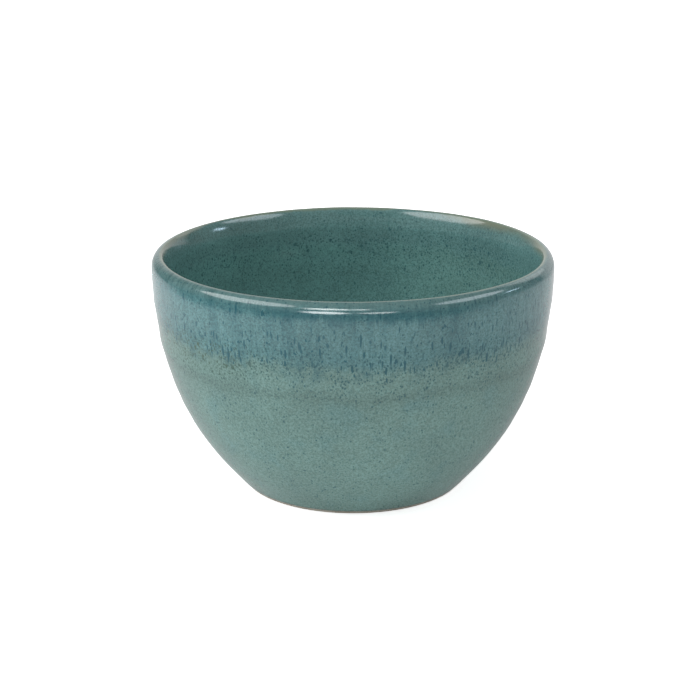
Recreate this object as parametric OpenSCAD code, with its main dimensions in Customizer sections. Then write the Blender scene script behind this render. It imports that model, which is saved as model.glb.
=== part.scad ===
// Prep bowl: a thrown stoneware bowl with a trimmed foot, under poured and dipped coats of glaze.
// Millimetres, +Z up. The origin is on the table, under the middle of the foot.

/* [Bowl] */
// Widest diameter of the rim, over its glaze
rim_d = 127.5; // [105:0.5:160]
// Height from the table to the top of the lip, over its glaze
bowl_h = 75.5; // [60:0.5:110]

/* [Foot] */
// Diameter of the bare foot
foot_d = 72; // [58:0.5:90]
// Height of the bare band of clay around the foot
bare_foot_h = 1.2; // [0.8:0.1:4]
// Bevel on both edges of the foot ring
foot_bevel = 0.5; // [0.2:0.05:0.7]
// Width of the ring that the bowl stands on
foot_ring_w = 8; // [4:0.5:14]
// Depth of the trimmed well inside the foot ring
foot_well_h = 2.2; // [1:0.1:4]
// How far the side of the foot well slopes in
foot_well_slope = 1.5; // [0.5:0.1:4]

/* [Wall] */
// Lean of the outside from the vertical as it leaves the foot, in degrees
foot_flare = 42; // [20:1:55]
// How long the outside holds that lean, as a share of its rise
foot_pull_share = 0.18; // [0.1:0.01:0.4]
// How long the outside holds upright below the lip, as a share of its rise
rim_pull_share = 0.61; // [0.3:0.01:0.75]
// Height of the clay floor inside
floor_h = 7.5; // [6:0.1:12]
// How far inside the foot the flat of the floor ends
floor_inset = 24; // [14:0.5:28]
// How far beyond the foot the floor would reach before it turns up
floor_reach = 6; // [0:0.5:9]
// How long the inside holds upright below the lip, as a share of its rise
inner_pull_share = 0.66; // [0.4:0.01:0.75]

/* [Lip] */
// Clay from the crest of the lip out to the face of the wall
lip_outer_w = 2.3; // [1:0.05:3]
// Drop of the lip's round on the outside
lip_outer_drop = 3.25; // [1.5:0.05:6]
// Clay from the crest of the lip in to the upright face inside
lip_inner_w = 2.2; // [1:0.05:3]
// Drop of the lip's slope on the inside
lip_inner_drop = 6.5; // [4:0.1:8.5]
// How long the lip's slope holds level at the crest
lip_crest_pull = 0.55; // [0.3:0.05:1]
// How long the lip's slope holds upright at its foot
lip_flare_pull = 2.2; // [1:0.1:3.5]

/* [Glaze] */
// Thickness of the inside, outside and underside coats
glaze_t = 0.3; // [0.2:0.05:0.6]
// Thickness of the second coat over the rim
rim_glaze_t = 0.25; // [0.15:0.05:0.5]
// How far the rim's coat comes down the outside from the top
rim_dip_outside = 18.5; // [10:0.5:36]
// How far the rim's coat comes down the inside from the top
rim_dip_inside = 15; // [13:0.5:36]
// Distance over which a coat thins to nothing at its edge
glaze_edge = 1.2; // [0.6:0.1:3]

/* [Hidden] */
$fn = 180;
long_steps = 18;
short_steps = 7;
lip_steps = 7;

foot_r = foot_d / 2;
ring_inner_r = foot_r - foot_ring_w;
well_r = ring_inner_r - foot_well_slope;

// The clay at the rim, inside its two coats
crest_h = bowl_h - glaze_t - rim_glaze_t;
wall_r = rim_d / 2 - glaze_t - rim_glaze_t;
crest_r = wall_r - lip_outer_w;
inner_r = crest_r - lip_inner_w;
outer_shoulder_h = crest_h - lip_outer_drop;
inner_shoulder_h = crest_h - lip_inner_drop;
dip_outside_h = bowl_h - rim_dip_outside;
dip_inside_h = bowl_h - rim_dip_inside;

// The two faces of the wall and the lip's slope are rising cubic curves, each with its ends and its two handles
outer_rise = outer_shoulder_h - bare_foot_h;
inner_rise = inner_shoulder_h - floor_h;
outer_foot = [foot_r, bare_foot_h];
flare_way = [sin(foot_flare), cos(foot_flare)];
outer_wall = [
    outer_foot,
    outer_foot + foot_pull_share * outer_rise * flare_way,
    [wall_r, outer_shoulder_h - rim_pull_share * outer_rise],
    [wall_r, outer_shoulder_h],
];
inner_wall = [
    [foot_r - floor_inset, floor_h],
    [foot_r + floor_reach, floor_h],
    [inner_r, inner_shoulder_h - inner_pull_share * inner_rise],
    [inner_r, inner_shoulder_h],
];
lip_flare = [
    [inner_r, inner_shoulder_h],
    [inner_r, inner_shoulder_h + lip_flare_pull],
    [crest_r - lip_crest_pull, crest_h],
    [crest_r, crest_h],
];

function cubic_at(c, t) =
    pow(1 - t, 3) * c[0] + 3 * pow(1 - t, 2) * t * c[1] + 3 * (1 - t) * t * t * c[2] + pow(t, 3) * c[3];

function cubic_run(c, t) =
    pow(1 - t, 2) * (c[1] - c[0]) + 2 * (1 - t) * t * (c[2] - c[1]) + t * t * (c[3] - c[2]);

// Where along a rising cubic a height lies, found by halving
function cubic_share(c, h, low = 0, high = 1, tries = 40) =
    let (middle = (low + high) / 2)
    tries == 0 ? middle
    : cubic_at(c, middle)[1] < h ? cubic_share(c, h, middle, high, tries - 1)
    : cubic_share(c, h, low, middle, tries - 1);

function unit(v) = v / norm(v);

// A station is a point of the clay's face and the normal there, out of the clay.
// Stations run up the outside, over the lip and down the inside, with the clay on their left.
function curve_stations(c, from_t, to_t, steps) = [
    for (i = [0:steps])
    let (t = from_t + (to_t - from_t) * i / steps, run = sign(to_t - from_t) * cubic_run(c, t))
    [cubic_at(c, t), unit([run[1], -run[0]])]
];

function wall_stations(c, from_h, to_h, steps) =
    curve_stations(c, cubic_share(c, from_h), cubic_share(c, to_h), steps);

function lip_round_stations(w, drop) = [
    for (i = [0:lip_steps])
    let (a = 90 * i / lip_steps)
    [[crest_r + w * cos(a), crest_h - drop + drop * sin(a)], unit([cos(a) / w, sin(a) / drop])]
];

// Runs of stations end to end, where each run starts at the end of the one before
function joined(runs) = [
    for (k = [0:len(runs) - 1])
    for (i = [(k == 0 ? 0 : 1):len(runs[k]) - 1])
    runs[k][i]
];

foot_edge_run = wall_stations(outer_wall, bare_foot_h, bare_foot_h + glaze_edge, 1);
low_outer_run = wall_stations(outer_wall, bare_foot_h + glaze_edge, dip_outside_h, long_steps);
outer_dip_run = wall_stations(outer_wall, dip_outside_h, dip_outside_h + glaze_edge, 1);
top_outer_run = wall_stations(outer_wall, dip_outside_h + glaze_edge, outer_shoulder_h, short_steps);
outer_lip_run = lip_round_stations(lip_outer_w, lip_outer_drop);
inner_lip_run = curve_stations(lip_flare, 1, 0, lip_steps);
top_inner_run = wall_stations(inner_wall, inner_shoulder_h, dip_inside_h + glaze_edge, short_steps);
inner_dip_run = wall_stations(inner_wall, dip_inside_h + glaze_edge, dip_inside_h, 1);
low_inner_run = wall_stations(inner_wall, dip_inside_h, floor_h, long_steps);
floor_run = [for (r = [foot_r - floor_inset, 0]) [[r, floor_h], [0, 1]]];

outer_runs = [foot_edge_run, low_outer_run, outer_dip_run, top_outer_run, outer_lip_run];
inner_runs = [inner_lip_run, top_inner_run, inner_dip_run, low_inner_run, floor_run];
rim_runs = [
    outer_dip_run, top_outer_run, outer_lip_run, inner_lip_run, top_inner_run, inner_dip_run,
];

function raised(stations, by) = [for (s = stations) s[0] + by * s[1]];

function backwards(list) = [for (i = [len(list) - 1:-1:0]) list[i]];

// Outline of a coat that starts `under` above the clay; its face leaves out the stations at thin edges
function coat(stations, under, t, thin_first = 0, thin_last = 0) =
    let (face = [for (i = [thin_first:len(stations) - 1 - thin_last]) stations[i]])
    concat(raised(stations, under), backwards(raised(face, under + t)));

module turned(outline) {
    rotate_extrude()
        polygon(outline);
}

module stoneware_body() {
    underside = [
        [0, foot_well_h],
        [well_r, foot_well_h],
        [ring_inner_r, foot_bevel],
        [ring_inner_r + foot_bevel, 0],
        [foot_r - foot_bevel, 0],
        [foot_r, foot_bevel],
    ];
    color([0.70, 0.60, 0.50])
        turned(concat(underside, raised(joined(concat(outer_runs, inner_runs)), 0)));
}

module inside_glaze() {
    color([0.33, 0.47, 0.45])
        turned(coat(joined(inner_runs), 0, glaze_t));
}

module outside_glaze() {
    color([0.46, 0.59, 0.56])
        turned(coat(joined(outer_runs), 0, glaze_t, thin_first = 1));
}

module rim_glaze() {
    color([0.42, 0.56, 0.59])
        turned(coat(joined(rim_runs), glaze_t, rim_glaze_t, thin_first = 1, thin_last = 1));
}

module underside_glaze() {
    color([0.44, 0.57, 0.54])
        turned([
            [0, foot_well_h],
            [well_r, foot_well_h],
            [well_r - glaze_edge, foot_well_h - glaze_t],
            [0, foot_well_h - glaze_t],
        ]);
}

stoneware_body();
inside_glaze();
outside_glaze();
rim_glaze();
underside_glaze();
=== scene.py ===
"""Dresses the prep bowl: thrown stoneware under poured and dipped glazes, on a pale studio floor."""

import logging
import math
from abc import ABC, abstractmethod
from collections.abc import Callable
from dataclasses import dataclass, field, fields
from enum import Enum
from functools import cached_property, reduce
from typing import NamedTuple

import bpy
from mathutils import Euler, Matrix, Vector
from mathutils.geometry import interpolate_bezier


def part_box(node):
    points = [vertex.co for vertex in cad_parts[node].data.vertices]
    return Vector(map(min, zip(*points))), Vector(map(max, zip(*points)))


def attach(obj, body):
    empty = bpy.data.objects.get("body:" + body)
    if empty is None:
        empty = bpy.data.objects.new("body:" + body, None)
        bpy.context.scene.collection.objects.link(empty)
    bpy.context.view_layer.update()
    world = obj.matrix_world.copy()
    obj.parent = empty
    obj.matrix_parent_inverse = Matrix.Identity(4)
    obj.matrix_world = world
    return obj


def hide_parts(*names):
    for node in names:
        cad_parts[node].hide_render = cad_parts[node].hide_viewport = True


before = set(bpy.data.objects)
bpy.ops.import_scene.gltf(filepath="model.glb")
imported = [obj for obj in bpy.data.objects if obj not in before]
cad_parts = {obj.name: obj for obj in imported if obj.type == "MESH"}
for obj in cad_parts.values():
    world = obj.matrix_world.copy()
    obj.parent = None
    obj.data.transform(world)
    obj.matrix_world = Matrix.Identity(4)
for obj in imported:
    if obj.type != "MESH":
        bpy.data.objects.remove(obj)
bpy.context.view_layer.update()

MM = 0.001
MM_PER_M = 1000.0
FULL_TURN = 2.0 * math.pi
QUARTER_TURN = 0.5 * math.pi
Colour = tuple[float, float, float, float]
Socket = bpy.types.NodeSocket
# A layer of paint is its mask and its colour
Layer = tuple[Socket, Socket]
NOWHERE = Vector((0.0, 0.0, 0.0))
UPWARD = Vector((0.0, 0.0, 1.0))
MIDDLE = Vector((0.5, 0.5, 0.5))
GREY: Colour = (0.5, 0.5, 0.5, 1.0)
WHITE: Colour = (1.0, 1.0, 1.0, 1.0)

log = logging.getLogger("prep_bowl")


def ease(share: float) -> float:
    """A share from 0 to 1, made to start and stop gently."""
    kept = min(1.0, max(0.0, share))
    return kept * kept * (3.0 - 2.0 * kept)


def section_point(radius: float, height: float) -> Vector:
    """A point of the plane that is turned about the bowl's axis."""
    return Vector((radius, 0.0, height))


def spoke(radius: float, height: float, steps: int) -> list[Vector]:
    """Points of the section straight out from the axis, with both ends."""
    return [section_point(radius * i / steps, height) for i in range(steps + 1)]


def quarter_angles(steps: int) -> list[float]:
    """Angles over a quarter of a turn, with both ends."""
    return [QUARTER_TURN * i / steps for i in range(steps + 1)]


class Turning(Enum):
    """How finely a piece is turned, in steps round the wheel."""

    FACE = 224
    HIDDEN = 96


@dataclass(frozen=True)
class Station:
    """A point of the clay's face in the plane of the section, and the way out of the clay there."""

    place: Vector
    out: Vector

    def raised(self, by: float) -> Vector:
        """The point that lies `by` above the clay."""
        return self.place + by * self.out


@dataclass
class ThrownSection:
    """Section of the clay, up the outside from the bare foot, over the lip and down the inside."""

    rim_r: float
    bowl_h: float
    bare_foot_h: float
    floor_h: float
    coats_t: float
    slack: float = 0.15 * MM
    foot_r: float = 35.6 * MM
    creep: float = 0.4 * MM
    foot_flare: float = math.radians(42.0)
    foot_pull_share: float = 0.18
    rim_pull_share: float = 0.61
    floor_flat_r: float = 12.0 * MM
    floor_reach_r: float = 42.0 * MM
    inner_pull_share: float = 0.66
    lip_outer_w: float = 2.3 * MM
    lip_outer_drop: float = 3.25 * MM
    lip_inner_w: float = 2.2 * MM
    lip_inner_drop: float = 6.5 * MM
    lip_crest_pull: float = 0.55 * MM
    lip_flare_pull: float = 2.2 * MM
    ring_pitch: float = 8.5 * MM
    ring_drift: float = 31.0 * MM
    ring_sway: float = 1.6
    ring_depth: float = 0.035 * MM
    ring_fade: float = 12.0 * MM
    ridge_h: float = 48.7 * MM
    ridge_w: float = 3.2 * MM
    ridge_depth: float = 0.3 * MM
    wall_steps: int = 96
    lip_steps: int = 12
    floor_steps: int = 4
    outside: list[Station] = field(init=False)
    inside: list[Station] = field(init=False)

    @classmethod
    def from_frame(cls) -> "ThrownSection":
        """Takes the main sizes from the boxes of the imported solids.

        Returns:
            The section that fits them.
        """
        clay_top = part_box("stoneware_body")[1]
        rim_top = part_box("rim_glaze")[1]
        return cls(
            rim_r=rim_top.x,
            bowl_h=rim_top.z,
            bare_foot_h=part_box("outside_glaze")[0].z - cls.creep,
            floor_h=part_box("inside_glaze")[0].z,
            coats_t=rim_top.z - clay_top.z,
        )

    def __post_init__(self) -> None:
        """Works out the stations of both faces."""
        outer = self.outer_wall() + self.lip_round()
        inner = self.lip_flare() + self.inner_wall()
        run = self.with_normals(outer + inner)
        self.outside = run[: len(outer)]
        self.inside = run[len(outer) - 1:]

    @property
    def crest_h(self) -> float:
        """Height of the clay at the crest of the lip."""
        return self.bowl_h - self.slack - self.coats_t

    @property
    def crest_r(self) -> float:
        """Radius of the crest of the lip."""
        return self.rim_r - self.slack - self.coats_t - self.lip_outer_w

    @property
    def outer_shoulder_h(self) -> float:
        """Height at which the outside starts to round over into the lip."""
        return self.crest_h - self.lip_outer_drop

    @property
    def inner_shoulder(self) -> Vector:
        """Where the lip's inner slope meets the upright wall inside."""
        return section_point(self.crest_r - self.lip_inner_w, self.crest_h - self.lip_inner_drop)

    def outer_wall(self) -> list[Vector]:
        """Draws the outside, from the bare foot to where the lip starts to round over.

        Returns:
            Points up the wall, without the last one.
        """
        rise = self.outer_shoulder_h - self.bare_foot_h
        foot = section_point(self.foot_r, self.bare_foot_h)
        lean = section_point(math.sin(self.foot_flare), math.cos(self.foot_flare))
        shoulder = section_point(self.crest_r + self.lip_outer_w, self.outer_shoulder_h)
        upright = section_point(0.0, self.rim_pull_share * rise)
        handle = foot + self.foot_pull_share * rise * lean
        return interpolate_bezier(foot, handle, shoulder - upright, shoulder, self.wall_steps)[:-1]

    def lip_round(self) -> list[Vector]:
        """Draws the outer quarter of the lip, from the wall to the crest.

        Returns:
            Points over the quarter.
        """
        made = []
        for angle in quarter_angles(self.lip_steps):
            out = self.lip_outer_w * math.cos(angle)
            up = self.lip_outer_drop * math.sin(angle)
            made.append(section_point(self.crest_r + out, self.outer_shoulder_h + up))
        return made

    def lip_flare(self) -> list[Vector]:
        """Draws the lip's inner slope.

        Returns:
            Points down the slope, after the crest.
        """
        crest = section_point(self.crest_r, self.crest_h)
        over = crest - section_point(self.lip_crest_pull, 0.0)
        above = self.inner_shoulder + section_point(0.0, self.lip_flare_pull)
        return interpolate_bezier(crest, over, above, self.inner_shoulder, 2 * self.lip_steps)[1:]

    def inner_wall(self) -> list[Vector]:
        """Draws the inside, from the end of the lip's slope to the middle of the floor.

        Returns:
            Points down the wall and in along the floor.
        """
        shoulder = self.inner_shoulder
        upright = section_point(0.0, self.inner_pull_share * (shoulder.z - self.floor_h))
        flat = section_point(self.floor_flat_r, self.floor_h)
        reach = section_point(self.floor_reach_r, self.floor_h)
        wall = interpolate_bezier(shoulder, shoulder - upright, reach, flat, self.wall_steps)[1:]
        return wall + spoke(self.floor_flat_r, self.floor_h, self.floor_steps)[-2::-1]

    def with_normals(self, points: list[Vector]) -> list[Station]:
        """Makes stations at the points of the whole run, with the throwing rings pressed into them.

        Args:
            points: the run of points, up the outside and down the inside.

        Returns:
            One station for each point.
        """
        made = []
        for i, point in enumerate(points):
            way = points[min(i + 1, len(points) - 1)] - points[max(i - 1, 0)]
            out = section_point(way.z, -way.x).normalized()
            proud = self.throwing_ring(point.z) + (self.finger_ridge(point.z) if out.x > 0.0 else 0.0)
            made.append(Station(point + proud * out, out))
        return made

    def throwing_ring(self, height: float) -> float:
        """Works out the fine ridges of the throwing, which fade towards the foot and the lip.

        Args:
            height: where on the wall.

        Returns:
            How far they stand proud there.
        """
        drift = math.sin(FULL_TURN * height / self.ring_drift)
        ridge = math.sin(FULL_TURN * height / self.ring_pitch + self.ring_sway * drift)
        fade = ease((height - self.floor_h) / self.ring_fade) * ease((self.crest_h - height) / self.ring_fade)
        return self.ring_depth * ridge * fade

    def finger_ridge(self, height: float) -> float:
        """How far the one strong ridge that a finger left round the outside stands proud at a height."""
        off = (height - self.ridge_h) / self.ridge_w
        return self.ridge_depth * math.exp(-off * off)


@dataclass
class HandWobble:
    """The slight unevenness of a bowl thrown by hand and dried, the same for every layer of it."""

    slow_size: float = 52.0 * MM
    slow_depth: float = 0.42 * MM
    fine_size: float = 11.0 * MM
    fine_depth: float = 0.1 * MM
    still_h: float = 2.6 * MM
    free_h: float = 45.0 * MM
    group_name: str = "thrown"

    @cached_property
    def pushes(self) -> list[tuple[bpy.types.Texture, float]]:
        """Makes the two cloud textures that push the clay.

        Returns:
            Each texture with how far it pushes.
        """
        made = []
        for name, size, depth in (
            ("slow_wobble", self.slow_size, self.slow_depth),
            ("finger_wobble", self.fine_size, self.fine_depth),
        ):
            clouds = bpy.data.textures.new(name, type="CLOUDS")
            clouds.cloud_type = "COLOR"
            clouds.noise_scale = size
            clouds.noise_depth = 1
            made.append((clouds, depth))
        return made

    def press(self, piece: bpy.types.Object) -> None:
        """Pushes a piece's points about, less and less towards the foot, which stays flat.

        Args:
            piece: the turned piece, which is the active object.
        """
        group = piece.vertex_groups.new(name=self.group_name)
        for point in piece.data.vertices:
            share = ease((point.co.z - self.still_h) / (self.free_h - self.still_h))
            group.add([point.index], share, "REPLACE")
        for clouds, depth in self.pushes:
            bpy.ops.object.modifier_add(type="DISPLACE")
            push = piece.modifiers[-1]
            push.texture = clouds
            push.texture_coords = "LOCAL"
            push.direction = "RGB_TO_XYZ"
            push.strength = depth
            push.vertex_group = self.group_name
            bpy.ops.object.modifier_apply(modifier=push.name)
        piece.vertex_groups.clear()


class PottersWheel:
    """Turns an outline into a piece."""

    merge_gap: float = 0.004 * MM
    pen_size: float = 1.0 * MM
    crease: float = math.radians(38.0)

    def turn(self, name: str, outline: list[Vector], turning: Turning) -> bpy.types.Object:
        """Draws an outline point by point, spins it about the bowl's axis and closes it.

        Args:
            name: the new piece's name.
            outline: points in the plane of the section, from axis to axis or back to the first point.
            turning: how fine the piece is round the wheel.

        Returns:
            The turned piece, active and in object mode.
        """
        bpy.ops.object.select_all(action="DESELECT")
        bpy.ops.mesh.primitive_plane_add(size=self.pen_size)
        piece = bpy.context.active_object
        piece.name = name
        piece.data.name = name
        bpy.ops.object.mode_set(mode="EDIT")
        bpy.ops.mesh.select_all(action="SELECT")
        bpy.ops.mesh.merge(type="CENTER")
        bpy.ops.transform.translate(value=outline[0])
        for here, there in zip(outline, outline[1:]):
            bpy.ops.mesh.extrude_vertices_move(TRANSFORM_OT_translate={"value": there - here})
        bpy.ops.mesh.select_all(action="SELECT")
        bpy.ops.mesh.spin(steps=turning.value, angle=FULL_TURN, center=NOWHERE, axis=UPWARD)
        bpy.ops.mesh.select_all(action="SELECT")
        bpy.ops.mesh.remove_doubles(threshold=self.merge_gap)
        bpy.ops.mesh.normals_make_consistent(inside=False)
        bpy.ops.object.mode_set(mode="OBJECT")
        bpy.ops.object.shade_smooth_by_angle(angle=self.crease)
        return piece


def drawn_out(stations: list[Station], edges: tuple[float, float]) -> list[float]:
    """Works out how full a coat is at each station, where it thins towards its edges.

    Args:
        stations: the stations that the coat covers.
        edges: distances over which it thins at the first and at the last station; zero is a square edge.

    Returns:
        A share from 0 to 1 for each station.
    """
    gone = [0.0]
    for before, after in zip(stations, stations[1:]):
        gone.append(gone[-1] + (after.place - before.place).length)
    shares = []
    for so_far in gone:
        first = ease(so_far / edges[0]) if edges[0] else 1.0
        last = ease((gone[-1] - so_far) / edges[1]) if edges[1] else 1.0
        shares.append(first * last)
    return shares


@dataclass
class BowlPiece(ABC):
    """One layer of the bowl, with the solid that it stands for."""

    section: ThrownSection
    wheel: PottersWheel
    wobble: HandWobble
    name: str = ""
    node: str = ""
    turning: Turning = Turning.FACE

    @abstractmethod
    def outline(self) -> list[Vector]:
        """The piece's outline in the plane of the section."""

    def build(self) -> bpy.types.Object:
        """Turns the piece and lets it wobble as the rest of the bowl does.

        Returns:
            The piece, still without a finish.
        """
        piece = self.wheel.turn(self.name, self.outline(), self.turning)
        self.wobble.press(piece)
        return piece

    def dress(self, piece: bpy.types.Object, finish: bpy.types.Material, slot: str) -> None:
        """Gives the piece its finish and sets it in the frame.

        Args:
            piece: the built piece.
            finish: the material that covers it.
            slot: the record's name for that finish; not used.
        """
        piece.data.materials.clear()
        piece.data.materials.append(finish)
        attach(piece, "root")
        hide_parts(self.node)
        log.info("%s stands for %s, with %d points", piece.name, self.node, len(piece.data.vertices))


@dataclass
class StonewareBody(BowlPiece):
    """The clay: wall, floor, lip and the trimmed foot that stays bare."""

    name: str = "thrown_stoneware_body"
    node: str = "stoneware_body"
    ring_w: float = 7.6 * MM
    edge_round: float = 0.5 * MM
    edge_steps: int = 4
    well_steps: int = 8

    def outline(self) -> list[Vector]:
        """From the middle of the well, round the foot ring, up the outside and down the inside."""
        face = [s.place for s in self.section.outside + self.section.inside[1:]]
        return self.underside() + face

    def underside(self) -> list[Vector]:
        """Draws the well and the ring that the bowl stands on, with its two edges sponged round.

        Returns:
            Points from the middle of the well out to the foot.
        """
        well_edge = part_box("underside_glaze")[1]
        ring_inner_r = self.section.foot_r - self.ring_w
        inner_mid = ring_inner_r + self.edge_round
        outer_mid = self.section.foot_r - self.edge_round
        angles = quarter_angles(self.edge_steps)
        inner = [self.on_edge(inner_mid, -math.cos(a), math.sin(a)) for a in angles]
        outer = [self.on_edge(outer_mid, math.sin(a), math.cos(a)) for a in angles]
        return spoke(well_edge.x, well_edge.z, self.well_steps) + inner + outer

    def on_edge(self, middle_r: float, across: float, down: float) -> Vector:
        """A point of a rounded edge of the foot ring, by its place on the unit circle."""
        return section_point(middle_r + self.edge_round * across, self.edge_round * (1.0 - down))


@dataclass
class InsideGlaze(BowlPiece):
    """The poured liner, from the crest of the lip to the middle of the floor."""

    name: str = "poured_inside_glaze"
    node: str = "inside_glaze"
    coat_t: float = 0.3 * MM

    def outline(self) -> list[Vector]:
        """From the middle of the clay floor up to the crest, and back down over the glaze."""
        under = [s.place for s in reversed(self.section.inside)]
        return under + [s.raised(self.coat_t) for s in self.section.inside]


@dataclass
class OutsideGlaze(BowlPiece):
    """The dipped coat outside, from the crest of the lip to a rolled edge just above the foot."""

    name: str = "dipped_outside_glaze"
    node: str = "outside_glaze"
    coat_t: float = 0.3 * MM
    edge_w: float = 0.9 * MM
    edge_steps: int = 4
    bead: float = 0.3
    bead_at: float = 2.2 * MM
    bead_w: float = 1.6 * MM

    def outline(self) -> list[Vector]:
        """Goes up the clay to the crest, and back down over the glaze to the thin edge.

        Returns:
            Points round the coat, with the first one again at the end.
        """
        stations = self.edge_stations() + self.section.outside[1:]
        fullness = drawn_out(stations, (self.edge_w, 0.0))
        under = [s.place for s in stations]
        face = [s.raised(self.coat_t * f * self.rolled(s.place.z)) for s, f in zip(stations, fullness)]
        return under + face[:0:-1] + under[:1]

    def edge_stations(self) -> list[Station]:
        """Adds stations between the first two, so that the rolled edge is round.

        Returns:
            The first station and those before the second.
        """
        first, second = self.section.outside[:2]
        shares = [i / self.edge_steps for i in range(self.edge_steps)]
        return [Station(first.place.lerp(second.place, s), first.out.lerp(second.out, s)) for s in shares]

    def rolled(self, height: float) -> float:
        """How much thicker the coat is where it gathers in a bead above the foot."""
        off = (height - self.bead_at) / self.bead_w
        return 1.0 + self.bead * math.exp(-off * off)


@dataclass
class RimGlaze(BowlPiece):
    """The second coat that the rim was dipped into, run thin at both its edges."""

    name: str = "rim_dip_glaze"
    node: str = "rim_glaze"
    under_t: float = 0.3 * MM
    coat_t: float = 0.25 * MM
    outside_low_h: float = 52.0 * MM
    inside_low_h: float = 56.0 * MM
    run_w: float = 9.0 * MM
    sunk: float = 0.02 * MM

    def outline(self) -> list[Vector]:
        """Goes up over the lip on the first coat, and back over the second one.

        Returns:
            Points round the coat, with the first one again at the end.
        """
        outer = [s for s in self.section.outside if s.place.z > self.outside_low_h]
        inner = [s for s in self.section.inside[1:] if s.place.z > self.inside_low_h]
        stations = outer + inner
        fullness = drawn_out(stations, (self.run_w, self.run_w))
        seat = self.under_t - self.sunk
        spare = self.coat_t + self.sunk
        under = [s.raised(seat) for s in stations]
        face = [s.raised(seat + spare * f) for s, f in zip(stations, fullness)]
        return under + face[-2:0:-1] + under[:1]


@dataclass
class UndersideGlaze(BowlPiece):
    """The coat in the well inside the foot ring."""

    name: str = "foot_well_glaze"
    node: str = "underside_glaze"
    turning: Turning = Turning.HIDDEN
    edge_w: float = 1.2 * MM
    edge_steps: int = 5
    flat_steps: int = 6

    def outline(self) -> list[Vector]:
        """Goes out along the roof of the well, round the coat's soft edge and back to the middle.

        Returns:
            Points from the axis to the axis.
        """
        low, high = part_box("underside_glaze")
        flat_r = high.x - self.edge_w
        coat_t = high.z - low.z
        edge = []
        for angle in quarter_angles(self.edge_steps)[1:]:
            edge_r = flat_r + self.edge_w * math.cos(angle)
            edge.append(section_point(edge_r, high.z - coat_t * math.sin(angle)))
        back = spoke(flat_r, low.z, self.flat_steps)[-2::-1]
        return spoke(high.x, high.z, self.flat_steps) + edge + back


class Fade(NamedTuple):
    """The way that a value eases from `start`, at `low`, to `end`, at `high`."""

    low: float
    high: float
    start: float = 0.0
    end: float = 1.0


class Lumps(NamedTuple):
    """Soft noise, by the width of its lumps, its detail and roughness, and its scale upright."""

    size: float
    detail: float = 2.0
    rough: float = 0.5
    upright: float = 1.0


class Patches(NamedTuple):
    """Soft noise, with the fade that it is passed through."""

    lumps: Lumps
    fade: Fade


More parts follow.
